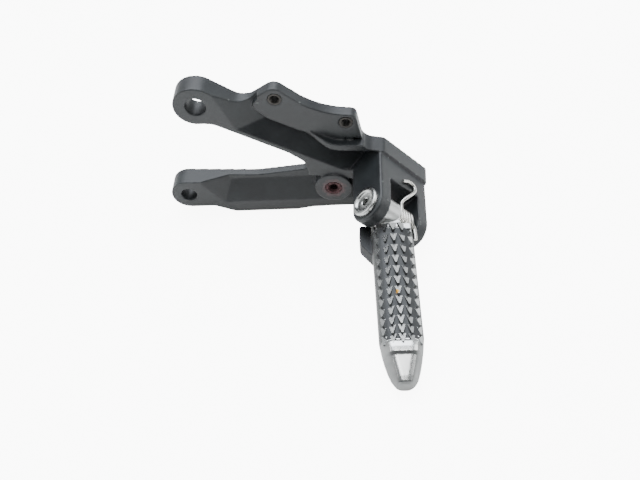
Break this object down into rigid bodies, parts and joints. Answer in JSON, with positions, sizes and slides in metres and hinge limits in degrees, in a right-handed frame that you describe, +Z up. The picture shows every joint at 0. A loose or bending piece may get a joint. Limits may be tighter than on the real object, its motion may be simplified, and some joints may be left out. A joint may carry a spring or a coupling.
{
  "type": "folding motorcycle foot peg",
  "caption": "Toothed aluminium foot peg on a pivot pin, folding upwards against a torsion spring in the clevis of a cast two-arm holder.",
  "frame": {"origin": "centre of the upper mounting hole where it meets the flat back of the holder", "axes": "+Z up as the holder is bolted to the motorcycle, +X towards the rear wheel, -Y outwards to the rider's foot"},
  "size_m": [0.141, 0.1366, 0.0905],
  "materials": {
    "bracket_casting": "satin, dark grey coated casting",
    "peg_body": "bare cast, worn bright on the teeth",
    "pivot_pin": "turned zinc-plated steel",
    "pin_washer": "zinc-plated",
    "pin_clip": "phosphated spring steel",
    "return_spring": "drawn spring wire",
    "lug_inserts": "dull plated steel",
    "centre_insert": "rusted steel"
  },
  "bodies": {
    "holder": {"bracket_casting": "bracket_casting", "pivot_pin": "pivot_pin", "pin_washer": "pin_washer", "pin_clip": "pin_clip", "return_spring": "return_spring", "lug_inserts": "lug_inserts", "centre_insert": "centre_insert"},
    "peg": {"peg_body": "peg_body"}
  },
  "joints": [
    {"name": "peg_fold", "type": "hinge", "parent": "holder", "child": "peg", "pos_m": [0.095, -0.039, -0.0565], "axis": [-0.6554, -0.0436, 0.754], "range_deg": [0, 70], "stiffness_Nm_per_rad": 0.35, "springref_deg": -57.3, "deforming": ["return_spring"]}
  ]
}
